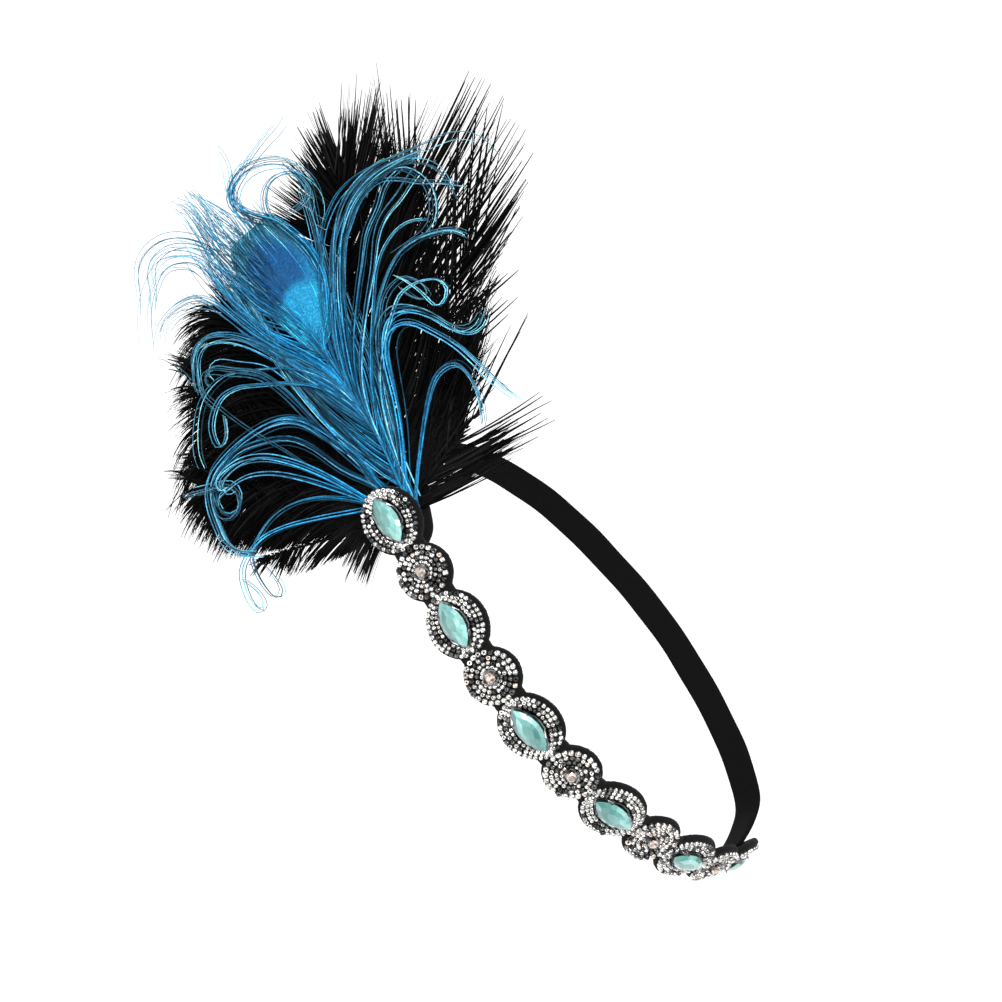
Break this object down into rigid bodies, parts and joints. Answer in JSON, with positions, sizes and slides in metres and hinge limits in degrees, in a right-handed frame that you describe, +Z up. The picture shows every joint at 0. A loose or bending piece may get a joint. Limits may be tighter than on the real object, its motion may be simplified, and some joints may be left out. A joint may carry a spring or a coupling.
{
  "type": "flapper headband",
  "caption": "Beaded felt strip with marquise and round stones, closed by a plain elastic, with a blue peacock eye feather over a fan of black feathers at one end.",
  "frame": {"origin": "centre of the head loop, level with the middle of the jewelled strip, where it sits on the head", "axes": "+Z up along the wearer's head, +X along the loop's long axis away from the plume, -Y towards the middle of the jewelled strip"},
  "size_m": [0.2658, 0.1542, 0.1451],
  "materials": {
    "felt": "matt black felt",
    "elastic": "smooth black knitted elastic with a slight sheen",
    "setting_metal": "bright silver-coloured metal",
    "turquoise_stone": "polished milky turquoise, faceted",
    "pale_crystal": "polished pale champagne crystal, faceted",
    "seed_beads": "glossy gunmetal and silver-lined glass seed beads",
    "blue_feather": "dyed feather, bright turquoise blue with a deep blue eye",
    "black_feather": "black feather with a soft sheen"
  },
  "bodies": {
    "root": {"felt_backing": "felt", "elastic_band": "elastic", "plume_patch": "felt", "peacock_feather": "blue_feather", "black_plume": "black_feather", "marquise_setting_1": "setting_metal", "marquise_stone_1": "turquoise_stone", "marquise_bead_bed_1": "seed_beads", "marquise_setting_2": "setting_metal", "marquise_stone_2": "turquoise_stone", "marquise_bead_bed_2": "seed_beads", "marquise_setting_3": "setting_metal", "marquise_stone_3": "turquoise_stone", "marquise_bead_bed_3": "seed_beads", "marquise_setting_4": "setting_metal", "marquise_stone_4": "turquoise_stone", "marquise_bead_bed_4": "seed_beads", "marquise_setting_5": "setting_metal", "marquise_stone_5": "turquoise_stone", "marquise_bead_bed_5": "seed_beads", "marquise_setting_6": "setting_metal", "marquise_stone_6": "turquoise_stone", "marquise_bead_bed_6": "seed_beads", "rhinestone_setting_1": "setting_metal", "rhinestone_1": "pale_crystal", "round_bead_bed_1": "seed_beads", "rhinestone_setting_2": "setting_metal", "rhinestone_2": "pale_crystal", "round_bead_bed_2": "seed_beads", "rhinestone_setting_3": "setting_metal", "rhinestone_3": "pale_crystal", "round_bead_bed_3": "seed_beads", "rhinestone_setting_4": "setting_metal", "rhinestone_4": "pale_crystal", "round_bead_bed_4": "seed_beads", "rhinestone_setting_5": "setting_metal", "rhinestone_5": "pale_crystal", "round_bead_bed_5": "seed_beads"}
  },
  "joints": []
}
